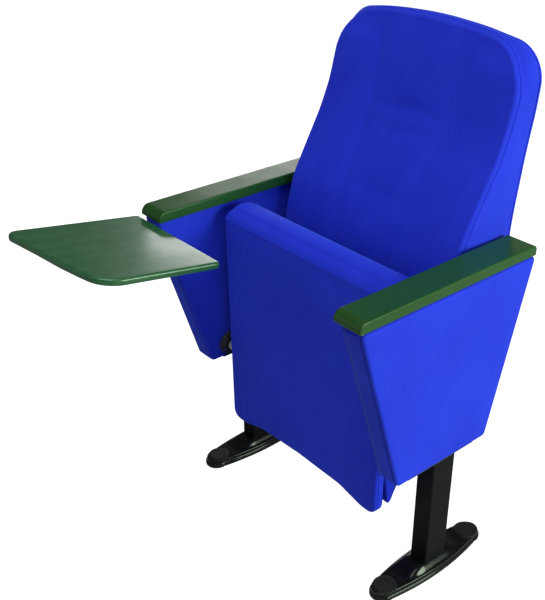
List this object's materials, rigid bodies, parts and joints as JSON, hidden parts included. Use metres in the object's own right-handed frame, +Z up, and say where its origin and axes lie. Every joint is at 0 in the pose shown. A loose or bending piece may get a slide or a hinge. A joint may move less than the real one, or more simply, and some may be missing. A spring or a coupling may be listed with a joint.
{
  "type": "auditorium tip-up chair with writing tablet",
  "caption": "Upholstered lecture-hall chair with tip-up seat, panel sides with wooden arm caps, steel legs on floor-bolted feet and a small swing-away writing tablet.",
  "frame": {"origin": "on the floor, at the centre of the four floor bolts, midway between the two legs", "axes": "+Z up, -Y is the way the sitter faces, +X is the sitter's left hand"},
  "size_m": [0.6702, 0.7378, 0.992],
  "materials": {
    "fabric_blue": "fine smooth woven upholstery cloth, royal blue",
    "wood_green": "green stained and satin lacquered board",
    "plastic_black": "gloss moulded",
    "steel_black": "satin black powder coat",
    "steel_zinc": "bright zinc plated",
    "timber": "raw plywood and beech",
    "nylon": "natural"
  },
  "bodies": {
    "frame": {"foot_plate_left": "steel_black", "foot_plate_right": "steel_black", "foot_cover_left": "plastic_black", "foot_cover_right": "plastic_black", "foot_caps_left": "plastic_black", "foot_caps_right": "plastic_black", "leg_tube_left": "steel_black", "leg_tube_right": "steel_black", "leg_head_plate_left": "steel_black", "leg_head_plate_right": "steel_black", "leg_bolts_left": "steel_zinc", "leg_bolts_right": "steel_zinc", "arm_core_left": "timber", "arm_core_right": "timber", "arm_cover_left": "fabric_blue", "arm_cover_right": "fabric_blue", "armrest_left": "wood_green", "armrest_right": "wood_green", "armrest_dowels_left": "timber", "armrest_dowels_right": "timber", "pivot_hub_left": "plastic_black", "pivot_hub_right": "plastic_black", "pivot_bush_left": "nylon", "pivot_bush_right": "nylon", "hub_screws_left": "steel_zinc", "hub_screws_right": "steel_zinc", "back_board": "timber", "back_cushion": "fabric_blue", "back_rear_panel": "fabric_blue", "back_bracket_left": "steel_black", "back_bracket_right": "steel_black", "back_bolts_left": "steel_zinc", "back_bolts_right": "steel_zinc", "tablet_arm": "steel_black", "tablet_arm_screws": "steel_zinc"},
    "seat": {"seat_board": "timber", "seat_cushion": "fabric_blue", "seat_underside_panel": "fabric_blue", "seat_hinge_left": "steel_black", "seat_hinge_right": "steel_black", "seat_axle_left": "steel_zinc", "seat_axle_right": "steel_zinc", "seat_spring_left": "steel_zinc", "seat_spring_right": "steel_zinc", "seat_screws": "steel_zinc"},
    "tablet": {"tablet_board": "wood_green", "tablet_knuckle": "steel_black", "tablet_pin": "steel_zinc", "tablet_washer": "steel_zinc", "tablet_screws": "steel_zinc"}
  },
  "joints": [
    {"name": "seat_tip", "type": "hinge", "parent": "frame", "child": "seat", "pos_m": [0, -0.088, 0.32], "axis": [1, 0, 0], "range_deg": [0, 83], "stiffness_Nm_per_rad": 2.2, "springref_deg": -40.11},
    {"name": "tablet_swing", "type": "hinge", "parent": "frame", "child": "tablet", "pos_m": [-0.33719, -0.25219, 0.605], "axis": [-0.6023, -0.6023, -0.5239], "range_deg": [0, 235.3]}
  ]
}
